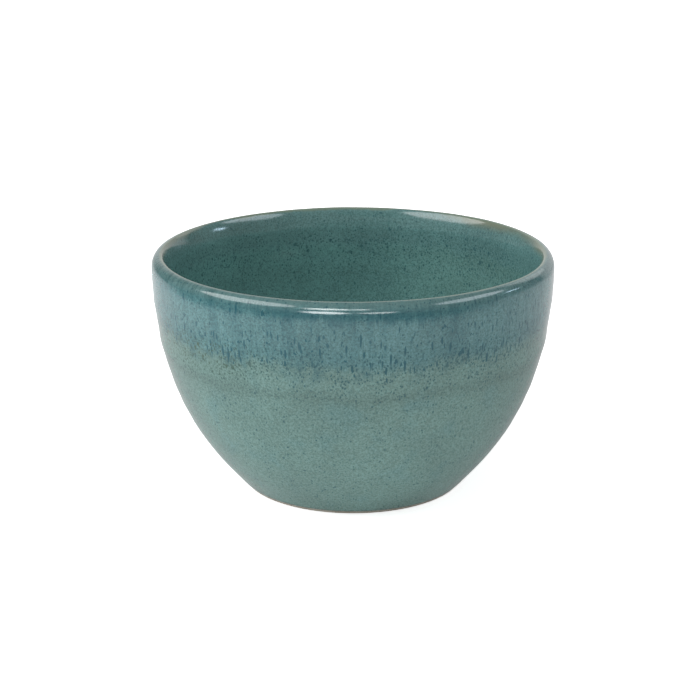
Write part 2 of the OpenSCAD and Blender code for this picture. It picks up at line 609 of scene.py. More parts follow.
class Wiring:
    """Places nodes in one shader tree and joins them up."""

    def __init__(self, tree: bpy.types.NodeTree) -> None:
        """Keeps the tree that the nodes go in."""
        self.tree = tree

    def node(self, kind: str, sockets: dict | None = None, **settings: object) -> bpy.types.Node:
        """Adds a node.

        Args:
            kind: the node's type name.
            sockets: what goes into its inputs, by name or number: another node's output, or a plain value.
            settings: the node's own properties.

        Returns:
            The new node.
        """
        made = self.tree.nodes.new(kind)
        for name, value in settings.items():
            setattr(made, name, value)
        for name, value in (sockets or {}).items():
            self.feed(made.inputs[name], value)
        return made

    def feed(self, socket: Socket, value: object) -> None:
        """Links an output to an input, or sets the input's own value.

        Args:
            socket: the input.
            value: the output, or a plain value.
        """
        if isinstance(value, Socket):
            self.tree.links.new(value, socket)
        else:
            socket.default_value = value

    def group(self, pattern: bpy.types.NodeTree, sockets: dict) -> bpy.types.NodeOutputs:
        """The outputs of a node group whose inputs are fed by name."""
        return self.node("ShaderNodeGroup", sockets, node_tree=pattern).outputs

    def sum(self, operation: str, *values: object) -> Socket:
        """A Math node's result, for the named operation on the values."""
        return self.node("ShaderNodeMath", dict(enumerate(values)), operation=operation).outputs[0]

    def times(self, *values: object) -> Socket:
        """The product of some values."""
        return reduce(lambda product, value: self.sum("MULTIPLY", product, value), values)

    def vector(self, operation: str, *values: object) -> Socket:
        """A Vector Math node's result, for the named operation on the values."""
        return self.node("ShaderNodeVectorMath", dict(enumerate(values)), operation=operation).outputs[0]

    def length(self, place: Socket) -> Socket:
        """How far a place is from the origin."""
        return self.node("ShaderNodeVectorMath", {0: place}, operation="LENGTH").outputs["Value"]

    def axis(self, place: Socket, name: str) -> Socket:
        """A place along one axis."""
        return self.node("ShaderNodeSeparateXYZ", {0: place}).outputs[name]

    def blend(self, share: object, first: object, second: object, how: str = "MIX") -> Socket:
        """A colour between two, by a share from 0 to 1."""
        sockets = {0: share, 6: first, 7: second}
        return self.node("ShaderNodeMix", sockets, data_type="RGBA", blend_type=how).outputs[2]

    def painted(self, colour: Socket, layers: list[Layer]) -> Socket:
        """A colour with others laid over it in order, each by its mask."""
        return reduce(lambda under, layer: self.blend(layer[0], under, layer[1]), layers, colour)

    def shaded(self, colour: Socket, shade: Socket) -> Socket:
        """A colour multiplied by a grey."""
        grey = self.node("ShaderNodeCombineColor", {0: shade, 1: shade, 2: shade}).outputs[0]
        return self.blend(1.0, colour, grey, "MULTIPLY")

    def between(self, share: object, first: object, second: object) -> Socket:
        """A number between two, by a share from 0 to 1."""
        return self.node("ShaderNodeMix", {0: share, 2: first, 3: second}, data_type="FLOAT").outputs[0]

    def slope(self, value: object, low: object, high: object, start: float, end: float) -> Socket:
        """A value eased from `start`, at low, to `end`, at high."""
        sockets = {"Value": value, "From Min": low, "From Max": high, "To Min": start, "To Max": end}
        return self.node("ShaderNodeMapRange", sockets, interpolation_type="SMOOTHSTEP").outputs[0]

    def fade(self, value: Socket, *fades: Fade) -> Socket:
        """A value passed through a fade, or through the product of several."""
        return self.times(*(self.slope(value, *fade) for fade in fades))

    def noise(self, place: Socket, lumps: Lumps) -> Socket:
        """Adds soft noise.

        Args:
            place: where the point lies.
            lumps: the noise, with its size in the units of the place.

        Returns:
            A value from 0 to 1.
        """
        if lumps.upright != 1.0:
            place = self.vector("MULTIPLY", place, (1.0, 1.0, lumps.upright))
        sockets = {"Scale": 1.0 / lumps.size, "Detail": lumps.detail, "Roughness": lumps.rough}
        return self.node("ShaderNodeTexNoise", {"Vector": place, **sockets}).outputs[0]

    def waver(self, place: Socket, lumps: Lumps) -> Socket:
        """Soft noise about zero."""
        return self.sum("SUBTRACT", self.noise(place, lumps), 0.5)

    def patchy(self, place: Socket, patches: Patches) -> Socket:
        """Soft noise passed through its fade."""
        return self.fade(self.noise(place, patches.lumps), patches.fade)


class Pattern(Wiring):
    """A shader node group while it is being made."""

    kinds = {float: "NodeSocketFloat", tuple: "NodeSocketColor", Vector: "NodeSocketVector"}

    def __init__(self, name: str, inputs: dict, outputs: dict) -> None:
        """Starts a group.

        Args:
            name: the group's name.
            inputs: each input's starting value, by name.
            outputs: a value of each output's kind, by name.
        """
        super().__init__(bpy.data.node_groups.new(name, "ShaderNodeTree"))
        face = self.tree.interface
        for label, value in inputs.items():
            socket = face.new_socket(label, in_out="INPUT", socket_type=self.kinds[type(value)])
            socket.default_value = value
        for label, value in outputs.items():
            face.new_socket(label, in_out="OUTPUT", socket_type=self.kinds[type(value)])
        self.given = self.tree.nodes.new("NodeGroupInput").outputs
        self.result = self.tree.nodes.new("NodeGroupOutput").inputs

    def close(self, **results: object) -> bpy.types.NodeTree:
        """Feeds the group's outputs.

        Args:
            results: what goes into each output, by name.

        Returns:
            The finished group.
        """
        for label, value in results.items():
            self.feed(self.result[label], value)
        return self.tree


class MaterialMix(Wiring):
    """A material while it is being mixed."""

    def __init__(self, name: str) -> None:
        """Starts a material with a plain shader.

        Args:
            name: the material's name.
        """
        self.made = bpy.data.materials.new(name)
        self.made.use_nodes = True
        super().__init__(self.made.node_tree)
        self.place = self.node("ShaderNodeTexCoord").outputs["Object"]

    def relief(self, height: Socket) -> Socket:
        """The normal of a relief whose height is in millimetres."""
        return self.node("ShaderNodeBump", {"Height": height, "Distance": MM, "Strength": 1.0}).outputs[0]

    def finish(self, sockets: dict) -> bpy.types.Material:
        """Feeds the shader.

        Args:
            sockets: what goes into its inputs, by name.

        Returns:
            The finished material.
        """
        shader = self.tree.nodes["Principled BSDF"]
        for name, value in sockets.items():
            self.feed(shader.inputs[name], value)
        return self.made

    def glow(self, strength: Socket) -> bpy.types.Material:
        """Makes the material glow for the rays that meet it, without being sampled as a lamp.

        Args:
            strength: how bright it is.

        Returns:
            The finished material.
        """
        self.made.cycles.emission_sampling = "NONE"
        light = self.node("ShaderNodeEmission", {"Strength": strength}).outputs[0]
        self.feed(self.tree.nodes["Material Output"].inputs["Surface"], light)
        return self.made


@dataclass(frozen=True)
class MarkLayer:
    """One layer of scattered marks: flecks, or runs where they are stretched upright.

    The spacing is in millimetres. The stretch is how many times taller than wide they are, the radius a
    share of the spacing, and the taper how much heavier their lower ends are. The share is how many of them
    show, and the weight how strongly they colour what they lie on.
    """

    spacing: float
    stretch: float
    radius: float
    taper: float = 0.0
    share: float = 1.0
    weight: float = 1.0


@dataclass(frozen=True)
class GlazePalette:
    """The colours of the fired glaze, as linear light."""

    green: Colour = (0.141, 0.249, 0.227, 1.0)
    inner_green: Colour = (0.123, 0.271, 0.257, 1.0)
    blue: Colour = (0.103, 0.226, 0.234, 1.0)
    inner_blue: Colour = (0.119, 0.244, 0.238, 1.0)
    fleck: Colour = (0.02, 0.082, 0.098, 1.0)
    run: Colour = (0.016, 0.09, 0.116, 1.0)
    rust: Colour = (0.045, 0.088, 0.052, 1.0)
    bare_lip: Colour = (0.206, 0.212, 0.136, 1.0)
    crest: Colour = (0.186, 0.238, 0.172, 1.0)
    thin: Colour = (0.108, 0.19, 0.183, 1.0)

    def sockets(self) -> dict[str, Colour]:
        """The colours under the names that the glaze's pattern gives them, such as Inner Green."""
        return {part.name.replace("_", " ").title(): getattr(self, part.name) for part in fields(self)}


@dataclass
class PatternBook:
    """The patterns of the glaze and the clay, each made once. Places and sizes in them are millimetres."""

    section: ThrownSection
    stir_scale: float = 2.3
    stir: float = 0.3
    mark_least: float = 0.55
    mark_range: float = 0.9
    mark_core: float = 0.6
    sway_lumps: Lumps = Lumps(17.0, upright=0.3)
    sway: float = 5.5
    finger_lumps: Lumps = Lumps(2.4, rough=0.6, upright=0.12)
    fingers: float = 5.0
    over_line: Fade = Fade(-2.2, 2.8)
    wave_lumps: Lumps = Lumps(6.5)
    peel_lumps: Lumps = Lumps(0.9)
    peel: float = 0.0012
    mark_sink: float = 0.004
    mark_dull: float = 0.05
    dull_lumps: Lumps = Lumps(4.0, 3.0)
    dull_range: float = 0.06
    toast_patches: Patches = Patches(Lumps(6.0, 3.0), Fade(0.35, 0.7))
    sand_lumps: Lumps = Lumps(0.35, 3.0, 0.7)
    sand_shade: Fade = Fade(0.25, 0.75, 0.8, 1.15)
    sand_depth: float = 0.05
    specks: MarkLayer = MarkLayer(1.4, 1.0, 0.2, share=0.3, weight=0.6)
    line_pace: float = 9.0
    line_depth: float = 0.006

    @cached_property
    def wheel_place(self) -> bpy.types.NodeTree:
        """Makes the group that tells where a point lies on the wheel.

        Returns:
            The group, which also gives the same place pressed onto an upright cylinder.
        """
        outputs = {"Place": NOWHERE, "Wrapped": NOWHERE, "Radius": 0.0, "Height": 0.0}
        net = Pattern("wheel_place", {"Place": NOWHERE}, outputs)
        place = net.vector("MULTIPLY", net.given["Place"], (MM_PER_M, MM_PER_M, MM_PER_M))
        flat = net.vector("MULTIPLY", place, (1.0, 1.0, 0.0))
        height = net.axis(place, "Z")
        wide = self.section.rim_r * MM_PER_M
        ring = net.vector("MULTIPLY", net.vector("NORMALIZE", flat), (wide, wide, 0.0))
        up = net.node("ShaderNodeCombineXYZ", {"Z": height}).outputs[0]
        wrapped = net.vector("ADD", ring, up)
        return net.close(Place=place, Wrapped=wrapped, Radius=net.length(flat), Height=height)

    @cached_property
    def marks(self) -> bpy.types.NodeTree:
        """Makes the group for one layer of scattered marks.

        Returns:
            The group, whose mask is 1 on a mark.
        """
        inputs = {"Place": NOWHERE, "Spacing": 1.0, "Stretch": 1.0, "Radius": 0.0, "Share": 0.0, "Taper": 0.0}
        net = Pattern("scattered_marks", inputs, {"Mask": 0.0})
        given = net.given
        across = net.sum("DIVIDE", 1.0, given["Spacing"])
        upright = net.sum("DIVIDE", across, given["Stretch"])
        scale = net.node("ShaderNodeCombineXYZ", {"X": across, "Y": across, "Z": upright}).outputs[0]
        place = net.vector("MULTIPLY", given["Place"], scale)
        stirring = {"Vector": place, "Scale": self.stir_scale, "Detail": 1.0}
        stir = net.vector("SUBTRACT", net.node("ShaderNodeTexNoise", stirring).outputs["Color"], MIDDLE)
        place = net.vector("ADD", place, net.vector("MULTIPLY", stir, (self.stir, self.stir, self.stir)))
        cells = net.node("ShaderNodeTexVoronoi", {"Vector": place, "Scale": 1.0}).outputs
        draws = net.node("ShaderNodeSeparateColor", {0: cells["Color"]}).outputs
        below = net.axis(net.vector("SUBTRACT", cells["Position"], place), "Z")
        size = net.sum("MULTIPLY_ADD", draws[1], self.mark_range, self.mark_least)
        radius = net.times(given["Radius"], size, net.sum("MULTIPLY_ADD", below, given["Taper"], 1.0))
        mark = net.slope(cells["Distance"], net.times(radius, self.mark_core), radius, 1.0, 0.0)
        return net.close(Mask=net.times(mark, net.sum("LESS_THAN", draws[0], given["Share"])))

    def scatter(self, net: Wiring, place: Socket, layer: MarkLayer, share: object) -> Socket:
        """Scatters one layer of marks.

        Args:
            net: the group that the marks go into.
            place: where the point lies, in millimetres.
            layer: the marks.
            share: the share of them that show.

        Returns:
            A mask, 1 on a mark.
        """
        sockets = {"Place": place, "Spacing": layer.spacing, "Stretch": layer.stretch, "Radius": layer.radius}
        return net.group(self.marks, {**sockets, "Taper": layer.taper, "Share": share})["Mask"]

    @cached_property
    def dip_line(self) -> bpy.types.NodeTree:
        """Makes the group for the uneven line that the rim's coat ran down to.

        Returns:
            The group, which gives the height over the line and a mask above it.
        """
        inputs = {"Wrapped": NOWHERE, "Height": 0.0, "Dip Height": 0.0}
        net = Pattern("dip_line", inputs, {"Over": 0.0, "Level": 0.0})
        level = net.sum("SUBTRACT", net.given["Height"], net.given["Dip Height"])
        for lumps, depth in ((self.sway_lumps, self.sway), (self.finger_lumps, self.fingers)):
            level = net.sum("MULTIPLY_ADD", net.waver(net.given["Wrapped"], lumps), depth, level)
        return net.close(Over=net.fade(level, self.over_line), Level=level)

    @cached_property
    def melt(self) -> bpy.types.NodeTree:
        """Group: the colour of the fired glaze, from the green body to the blue rim and the lip, with some
        painted light and shade.
        """
        return GlazeMelt(self).finished()

    @cached_property
    def skin(self) -> bpy.types.NodeTree:
        """Makes the group for the glaze's surface: gentle waves, fine orange peel and sunken marks.

        Returns:
            The group, which gives the relief's height in millimetres and the roughness.
        """
        inputs = {"Place": NOWHERE, "Marks": 0.0, "Wave": 0.0, "Gloss": 0.0}
        net = Pattern("glaze_skin", inputs, {"Height": 0.0, "Roughness": 0.0})
        given = net.given
        place = net.group(self.wheel_place, {"Place": given["Place"]})["Place"]
        height = net.times(net.noise(place, self.wave_lumps), given["Wave"])
        height = net.sum("MULTIPLY_ADD", net.noise(place, self.peel_lumps), self.peel, height)
        height = net.sum("MULTIPLY_ADD", given["Marks"], -self.mark_sink, height)
        dull = net.sum("MULTIPLY_ADD", net.waver(place, self.dull_lumps), self.dull_range, given["Gloss"])
        dull = net.sum("MULTIPLY_ADD", given["Marks"], self.mark_dull, dull)
        return net.close(Height=height, Roughness=dull)

    @cached_property
    def grog(self) -> bpy.types.NodeTree:
        """Makes the group for bare fired clay, with its grog, iron specks and turning lines.

        Returns:
            The group, which gives the colour and the relief's height in millimetres.
        """
        inputs = {"Place": NOWHERE, "Clay": GREY, "Toast": GREY, "Iron": GREY}
        net = Pattern("clay_grog", inputs, {"Color": GREY, "Height": 0.0})
        given = net.given
        where = net.group(self.wheel_place, {"Place": given["Place"]})
        place = where["Place"]
        colour = net.blend(net.patchy(place, self.toast_patches), given["Clay"], given["Toast"])
        sand = net.noise(place, self.sand_lumps)
        colour = net.shaded(colour, net.fade(sand, self.sand_shade))
        specks = self.scatter(net, place, self.specks, self.specks.share)
        colour = net.blend(net.times(specks, self.specks.weight), colour, given["Iron"])
        lines = net.sum("SINE", net.times(where["Radius"], self.line_pace))
        height = net.sum("MULTIPLY_ADD", lines, self.line_depth, net.times(sand, self.sand_depth))
        return net.close(Color=colour, Height=height)


class GlazeMelt(Pattern):
    """The colour of the fired glaze, with some painted light and shade, while its group is being made.

    Levels are heights over the dip line, between which a thing comes and goes. Sides run from left to right
    of the bowl. Reaches run from the crest of the lip, the pool's from the axis. A pair of weights is for
    outside and inside, and a rusty pair for plain and rusty glaze.
    """

    # Where the two glazes meet
    edge_levels = (Fade(-13.0, -2.5), Fade(1.5, 8.0, 1.0, 0.0))
    line_levels = (Fade(-5.0, -1.5), Fade(0.5, 3.5, 1.0, 0.0))
    rust_side = Fade(-46.0, -14.0, 1.0, 0.0)

    # The ground colours
    blue_patches = Patches(Lumps(9.0), Fade(0.5, 0.78, 0.0, 0.4))
    pool_lumps = Lumps(11.0, 3.0)
    pool_ragged = 16.0
    pool_reach = Fade(24.0, 44.0, 1.0, 0.0)
    pool_mottle = Patches(Lumps(4.5, 3.0, 0.6), Fade(0.36, 0.64, 0.1, 0.34))
    moss_side = Fade(0.0, 44.0, 0.0, 0.11)
    streak_lumps = Lumps(0.95, 3.0, 0.6, 0.11)
    streak_share = Fade(0.3, 0.7, 0.0, 0.2)
    wide_streaks = Patches(Lumps(3.4, upright=0.14), Fade(0.46, 0.72, 0.0, 0.3))

    # How pale or dark the ground is: random clouds and grain, painted light and shade along the finger's
    # ridge outside, and painted light and shade inside under the rim
    clouds = Patches(Lumps(21.0, 3.0), Fade(0.25, 0.75, 0.91, 1.09))
    grain = Patches(Lumps(0.62, rough=0.8), Fade(0.34, 0.66, 0.77, 1.23))
    # Painted light over the finger's ridge and painted shade below it, partly the glaze thinning and
    # gathering there
    ring_lumps = Lumps(34.0, 1.0)
    ring_sway = 5.0
    ring_gap = 2.4
    ring_pale = Fade(0.0, 3.0, 0.035, 0.0)
    ring_dark = Fade(0.0, 3.2, -0.14, 0.0)
    # Painted light on the left and painted shade on the right of the inside wall under the rim
    high_from = Fade(54.0, 61.0)
    high_dim = 0.07
    lift_side = Fade(-34.0, 46.0, 0.28, 0.02)
    lift_top = Fade(68.5, 72.0, 1.0, 0.3)

    # The scattered marks
    clumps = Patches(Lumps(6.0), Fade(0.36, 0.6, 0.4, 1.0))
    dust = MarkLayer(0.66, 1.0, 0.4, share=0.5, weight=0.4)
    flecks = MarkLayer(0.78, 1.25, 0.36)
    fleck_crowd = Fade(0.0, 0.8, 0.1, 0.95)
    fleck_weights = (0.78, 0.6)
    drops = MarkLayer(1.5, 2.0, 0.23, taper=1.2, weight=0.75)
    drop_levels = (Fade(-1.0, 3.0), Fade(12.0, 20.0, 0.42, 0.15))
    blots = MarkLayer(3.0, 1.2, 0.14, share=0.35)
    clots = MarkLayer(1.7, 1.2, 0.33)
    clot_crowd = Fade(0.5, 1.0, 0.05, 0.8)
    clot_rusty_crowds = (1.0, 1.3)
    clot_rusty_weights = (0.58, 0.82)
    puddles = Patches(Lumps(3.6, 3.0, 0.6), Fade(0.48, 0.7, 0.0, 0.42))
    runs = MarkLayer(1.1, 4.4, 0.26, taper=1.7, weight=0.9)
    run_levels = (Fade(-3.5, 0.0), Fade(4.0, 14.0, 1.0, 0.22))
    threads = MarkLayer(0.95, 14.0, 0.28, share=0.5, weight=0.24)

    # The lip, and the dark band under it: gathered glaze with a painted dark reflection
    gather_lumps = Lumps(2.6, 4.0, 0.62, 0.12)
    gather_ragged = 15.0
    gather_low = Fade(4.9, 7.7)
    gather_top = Fade(1.2, 2.5, 1.0, 0.0)
    gather_sides = (Fade(-44.0, -14.0, 0.5, 1.0), Fade(10.0, 52.0, 0.56, 0.08))
    gather_patches = Patches(Lumps(16.0), Fade(0.34, 0.6, 0.7, 1.05))
    worn_lumps = Lumps(5.0)
    worn_ragged = 0.9
    thin_reach = Fade(1.5, 6.4, 0.85, 0.0)
    thin_weights = (1.0, 0.15)
    thin_side = Fade(30.0, 54.0, 1.0, 0.5)
    thin_streak = Fade(0.3, 0.7, 1.0, 0.7)
    lip_reach = Fade(3.0, 6.0, 0.45, 0.0)
    # Darker streaks over the outer lip: partly the glaze's streaks, partly painted shade, strongest on the
    # left
    lip_side = Fade(-54.0, -18.0, 1.0, 0.25)
    lip_streak = Fade(0.38, 0.64, 0.3, 1.5)
    lip_rust = 0.5
    kept_patches = Patches(Lumps(24.0, 1.0), Fade(0.42, 0.62, 0.0, 1.8))
    flank_sides = (Fade(16.0, 42.0), Fade(-48.0, -28.0, 0.3, 0.0))
    crest_from = 0.8
    crest_to = 1.7
    flank_to = 5.4
    crest_weight = 0.8

    def __init__(self, book: PatternBook) -> None:
        """Starts the group and works out what it needs to know of a point.

        Args:
            book: the patterns that it is made from.
        """
        inputs = {"Place": NOWHERE, "Dip Outside": 0.0, "Dip Inside": 0.0, "Inside": 0.0}
        inputs.update(GlazePalette().sockets())
        super().__init__("glaze_melt", inputs, {"Color": GREY, "Marks": 0.0})
        given = self.given
        self.book = book
        self.inside = given["Inside"]
        self.outside = self.sum("SUBTRACT", 1.0, self.inside)
        where = self.group(book.wheel_place, {"Place": given["Place"]})
        self.place, self.wrapped, self.radius, self.height = where
        self.aside = self.axis(self.place, "X")
        dip_h = self.between(self.inside, given["Dip Outside"], given["Dip Inside"])
        dip = self.group(book.dip_line, {"Wrapped": self.wrapped, "Height": self.height, "Dip Height": dip_h})
        self.over, self.level = dip
        self.edge = self.fade(self.level, *self.edge_levels)
        self.rusty = self.times(self.edge, self.outside, self.fade(self.aside, self.rust_side))
        self.dark = self.blend(self.rusty, given["Fleck"], given["Rust"])
        self.streak = self.noise(self.wrapped, self.streak_lumps)
        off_crest = self.off_crest()
        self.on_lip = self.times(self.outside, self.fade(off_crest, self.lip_reach))
        uneven = self.noise(self.place, self.worn_lumps)
        self.worn = self.sum("MULTIPLY_ADD", uneven, self.worn_ragged, off_crest)

    def off_crest(self) -> Socket:
        """Measures from the ring along the inner edge of the lip, where glaze runs thin.

        Returns:
            The distance in millimetres.
        """
        section = self.book.section
        across = self.sum("SUBTRACT", self.radius, (section.crest_r - section.lip_crest_pull) * MM_PER_M)
        up = self.sum("SUBTRACT", self.height, section.bowl_h * MM_PER_M)
        return self.sum("SQRT", self.sum("MULTIPLY_ADD", across, across, self.times(up, up)))

    def finished(self) -> bpy.types.NodeTree:
        """Lays the marks on the ground colour, with the lip over them.

        Returns:
            The finished group.
        """
        clump = self.patchy(self.place, self.clumps)
        crowd = self.fade(self.times(self.edge, clump), self.fleck_crowd)
        flecks = self.book.scatter(self, self.place, self.flecks, self.sum("MAXIMUM", crowd, self.on_lip))
        fleck_mask = self.times(flecks, self.between(self.inside, *self.fleck_weights))
        runs_share = self.times(self.fade(self.level, *self.run_levels), self.outside)
        runs = self.book.scatter(self, self.wrapped, self.runs, runs_share)
        layers = self.dip_layers(clump)
        layers.append((self.times(runs, self.runs.weight), self.given["Run"]))
        layers.extend(self.lip_layers())
        layers.append((fleck_mask, self.dark))
        layers.append(self.crest_layer())
        return self.close(Color=self.painted(self.ground(), layers), Marks=self.sum("MAXIMUM", flecks, runs))

    def ground(self) -> Socket:
        """Mixes the glaze without its marks, green below the dip line and blue above it.

        Returns:
            Its colour.
        """
        given = self.given
        patches = self.patchy(self.place, self.blue_patches)
        moss = self.times(self.inside, self.fade(self.aside, self.moss_side))
        on_green = [(patches, given["Blue"]), (self.floor_pool(), given["Run"]), (moss, given["Bare Lip"])]
        green = self.painted(self.blend(self.inside, given["Green"], given["Inner Green"]), on_green)
        streaks = self.fade(self.streak, self.streak_share)
        wide_streaks = self.patchy(self.wrapped, self.wide_streaks)
        blue = self.painted(given["Blue"], [(streaks, given["Run"]), (wide_streaks, given["Run"])])
        blue = self.blend(self.inside, blue, given["Inner Blue"])
        return self.shaded(self.blend(self.over, green, blue), self.shade())

    def floor_pool(self) -> Socket:
        """Works out how much bluer the liner is where it pooled on the floor.

        Returns:
            A mask with a cloudy edge.
        """
        uneven = self.noise(self.place, self.pool_lumps)
        pool = self.fade(self.sum("MULTIPLY_ADD", uneven, self.pool_ragged, self.radius), self.pool_reach)
        return self.times(self.inside, self.patchy(self.place, self.pool_mottle), pool)

    def shade(self) -> Socket:
        """Works out how pale or dark the ground is: cloudy and grainy, with painted light and shade at the
        ridge outside and under the rim inside.

        Returns:
            What its colour is multiplied by.
        """
        shade = self.times(self.patchy(self.place, self.clouds), self.patchy(self.place, self.grain))
        shade = self.sum("MULTIPLY_ADD", self.finger_ring(), self.outside, shade)
        # Painted light on the left and painted shade on the right, inside under the rim
        high = self.times(self.inside, self.fade(self.height, self.high_from))
        painted_lift = self.times(self.fade(self.aside, self.lift_side), self.fade(self.height, self.lift_top))
        return self.sum("MULTIPLY_ADD", high, self.sum("SUBTRACT", painted_lift, self.high_dim), shade)

    def finger_ring(self) -> Socket:
        """Paints light and shade along the finger's ridge: paler over it, darker below it, as its slopes
        would be lit, and partly the glaze thinning over it and gathering below it.

        Returns:
            What is added to the shade.
        """
        sway = self.waver(self.wrapped, self.ring_lumps)
        height = self.sum("MULTIPLY_ADD", sway, self.ring_sway, self.height)
        off = self.sum("SUBTRACT", height, self.book.section.ridge_h * MM_PER_M)
        pale = self.fade(self.sum("ABSOLUTE", self.sum("SUBTRACT", off, self.ring_gap)), self.ring_pale)
        dark = self.fade(self.sum("ABSOLUTE", self.sum("ADD", off, self.ring_gap)), self.ring_dark)
        return self.sum("ADD", pale, dark)

    def dip_layers(self, clump: Socket) -> list[Layer]:
        """Scatters the puddles, dust, drops, clots and threads about the dip line.

        Args:
            clump: how crowded the marks are.

        Returns:
            Their masks and colours, in the order that they go on.
        """
        run = self.given["Run"]
        scatter = self.book.scatter
        on_line = self.fade(self.level, *self.line_levels)
        puddles = self.times(on_line, self.patchy(self.wrapped, self.puddles), self.outside)
        dust = scatter(self, self.place, self.dust, self.dust.share)
        drops_share = self.times(self.fade(self.level, *self.drop_levels), self.outside)
        drops = scatter(self, self.wrapped, self.drops, drops_share)
        rusty_crowd = self.between(self.rusty, *self.clot_rusty_crowds)
        clots_share = self.times(on_line, self.fade(clump, self.clot_crowd), rusty_crowd)
        clots = scatter(self, self.place, self.clots, clots_share)
        clots = self.sum("MAXIMUM", scatter(self, self.place, self.blots, self.blots.share), clots)
        threads = scatter(self, self.wrapped, self.threads, self.times(self.over, self.threads.share))
        return [
            (puddles, run),
            (self.times(dust, self.dust.weight), self.dark),
            (self.times(drops, self.drops.weight), run),
            (self.times(clots, self.between(self.rusty, *self.clot_rusty_weights)), self.dark),
            (self.times(threads, self.threads.weight), run),
        ]

    def gathered(self) -> Socket:
        """Finds the dark band in the turn under the lip, outside: glaze gathered thick there, with a painted
        dark reflection, strongest midway between the sides and weakest on the right.

        Returns:
            A mask with a streaky lower edge.
        """
        above = self.sum("SUBTRACT", self.height, self.book.section.outer_shoulder_h * MM_PER_M)
        streak = self.noise(self.wrapped, self.gather_lumps)
        low = self.fade(self.sum("MULTIPLY_ADD", streak, self.gather_ragged, above), self.gather_low)
        thick = self.fade(self.aside, *self.gather_sides)
        patches = self.patchy(self.place, self.gather_patches)
        return self.times(low, self.fade(above, self.gather_top), self.outside, thick, patches)

    def lip_layers(self) -> list[Layer]:
        """Lays the dark band under the lip, wears the glaze thin over the lip, and streaks the outer lip
        darker, partly as painted shade, strongest on the left.

        Returns:
            The masks and colours, in the order that they go on.
        """
        given = self.given
        thin = self.times(
            self.fade(self.worn, self.thin_reach),
            self.between(self.inside, *self.thin_weights),
            self.fade(self.aside, self.thin_side),
            self.fade(self.streak, self.thin_streak),
        )
        # Painted shade: darker streaks over the outer lip, strongest on the left, partly the glaze's own
        # streaks
        streaky = self.times(self.fade(self.aside, self.lip_side), self.fade(self.streak, self.lip_streak))
        return [
            (self.gathered(), given["Run"]),
            (thin, given["Thin"]),
            (self.times(self.on_lip, streaky), self.blend(self.lip_rust, given["Run"], given["Rust"])),
        ]

    def crest_layer(self) -> Layer:
        """Wears the glaze off the crest of the lip, further in at the bowl's two flanks.

        Returns:
            The mask and the colour.
        """
        worn = self.sum("MULTIPLY_ADD", self.patchy(self.place, self.kept_patches), self.inside, self.worn)
        flanks = [self.fade(self.aside, side) for side in self.flank_sides]
        flank = self.times(self.sum("MAXIMUM", *flanks), self.inside)
        ends = self.between(flank, self.crest_to, self.flank_to)
        mask = self.slope(worn, self.crest_from, ends, self.crest_weight, 0.0)
        return mask, self.blend(flank, self.given["Crest"], self.given["Bare Lip"])


@dataclass(frozen=True)
class GlazeFinish:
    """A glossy coat of the speckled glaze. Its heights and its parting are in millimetres."""

    name: str
    palette: GlazePalette
    dip_outside: float = 55.8
    dip_inside: float = 63.0
    gloss: float = 0.12
    wave: float = 0.012
    ior: float = 1.52
    inside: float = 0.0
    both_sides: bool = False
    parting: Fade = Fade(59.8, 60.6, 1.0, 0.0)

    def material(self, book: PatternBook) -> bpy.types.Material:
        """Mixes the coat.

        Args:
            book: the patterns that the coats share.

        Returns:
            The finished material.
        """
        mix = MaterialMix(self.name)
        sockets = {"Place": mix.place, "Dip Outside": self.dip_outside, "Dip Inside": self.dip_inside}
        sockets["Inside"] = self.which_side(mix, book) if self.both_sides else self.inside
        melt = mix.group(book.melt, {**sockets, **self.palette.sockets()})
        surface = {"Place": mix.place, "Marks": melt["Marks"], "Wave": self.wave, "Gloss": self.gloss}
        skin = mix.group(book.skin, surface)
        return mix.finish({
            "Base Color": melt["Color"],
            "Roughness": skin["Roughness"],
            "Normal": mix.relief(skin["Height"]),
            "IOR": self.ior,
        })

    def which_side(self, mix: MaterialMix, book: PatternBook) -> Socket:
        """0 on the outer face of the rim and 1 on its inner face, parted at the crest."""
        radius = mix.group(book.wheel_place, {"Place": mix.place})["Radius"]
        return mix.fade(radius, self.parting)


@dataclass(frozen=True)
class BareClayFinish:
    """Fired stoneware with no glaze on it."""

    name: str = "bare_fired_clay"
    clay: Colour = (0.62, 0.575, 0.505, 1.0)
    toast: Colour = (0.52, 0.47, 0.4, 1.0)
    iron: Colour = (0.18, 0.13, 0.09, 1.0)
    roughness: float = 0.82

    def material(self, book: PatternBook) -> bpy.types.Material:
        """Mixes the clay.

        Args:
            book: the patterns that the finishes share.

        Returns:
            The finished material.
        """
        mix = MaterialMix(self.name)
        sockets = {"Place": mix.place, "Clay": self.clay, "Toast": self.toast, "Iron": self.iron}
        grog = mix.group(book.grog, sockets)
        relief = mix.relief(grog["Height"])
        return mix.finish({"Base Color": grog["Color"], "Normal": relief, "Roughness": self.roughness})


class LampUse(Enum):
    """What a lamp does: light the bowl and shine in it, only light it, or only shine in it."""

    FULL = (True, True)
    FILL = (True, False)
    SHINE = (False, True)


def hung_at(aim: Vector, round_deg: float, up_deg: float, away: float) -> tuple[Vector, Euler]:
    """Works out where a lamp or card hangs round a point, and how it turns to face it.

    Args:
        aim: the point that it faces.
        round_deg: how far round it hangs, from the front towards the right.
        up_deg: how far up it hangs.
        away: its distance from the point.

    Returns:
        Its place and its turn.
    """
    turn = math.radians(round_deg)
    rise = math.radians(up_deg)
    out = Vector((math.sin(turn) * math.cos(rise), -math.cos(turn) * math.cos(rise), math.sin(rise)))
    return aim + away * out, (-out).to_track_quat("-Z", "Y").to_euler()


